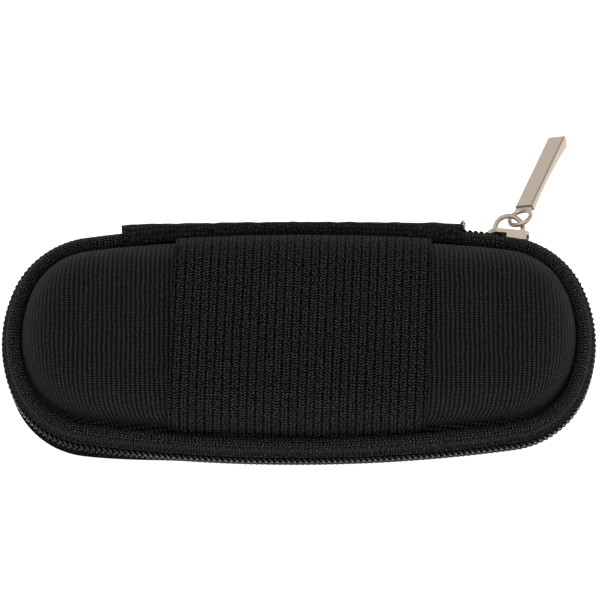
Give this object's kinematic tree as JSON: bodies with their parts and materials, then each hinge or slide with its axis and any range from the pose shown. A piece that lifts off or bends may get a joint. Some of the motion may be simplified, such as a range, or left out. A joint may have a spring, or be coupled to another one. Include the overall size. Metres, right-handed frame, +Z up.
{
  "type": "harmonica case",
  "caption": "Hard-shell harmonica case with rounded ends, a coil zip round three sides, a cloth hinge behind and a wide elastic band over the lid.",
  "frame": {"origin": "middle of the flat face of the base that the case lies on", "axes": "+X along the case, towards the slider's end; +Y from the zip front to the hinge; +Z up, out of the lid"},
  "size_m": [0.13, 0.0806, 0.0311],
  "materials": {
    "foam": "matte",
    "knit": "matte",
    "lining": "matte",
    "binding": "matte",
    "tape": "matte",
    "coil": "satin",
    "elastic": "matte",
    "hinge_cloth": "matte",
    "nickel": "satin"
  },
  "bodies": {
    "base": {"base_core": "foam", "base_cover": "knit", "base_lining": "lining", "base_binding": "binding", "lower_zip_tape": "tape", "lower_coil": "coil", "hinge_strip": "hinge_cloth"},
    "lid": {"lid_core": "foam", "lid_cover": "knit", "lid_lining": "lining", "lid_binding": "binding", "upper_zip_tape": "tape", "upper_coil": "coil", "elastic_band": "elastic"},
    "slider": {"slider_body": "nickel"},
    "puller": {"puller": "nickel"}
  },
  "joints": [
    {"name": "lid_hinge", "type": "hinge", "parent": "base", "child": "lid", "pos_m": [0, 0.0258, 0.015], "axis": [-1, 0, 0], "range_deg": [0, 100], "deforming": ["hinge_strip", "upper_zip_tape", "upper_coil"]},
    {"name": "slider_run", "type": "hinge", "parent": "base", "child": "slider", "pos_m": [0.04406, 0.00445, 0.015], "axis": [0, 0, -1], "range_deg": [0, 59], "deforming": ["lower_coil"]},
    {"name": "pull_swing", "type": "hinge", "parent": "slider", "child": "puller", "pos_m": [0.04648, 0.02939, 0.015], "axis": [0.8089, -0.588, 0], "range_deg": [-58, 22]}
  ]
}
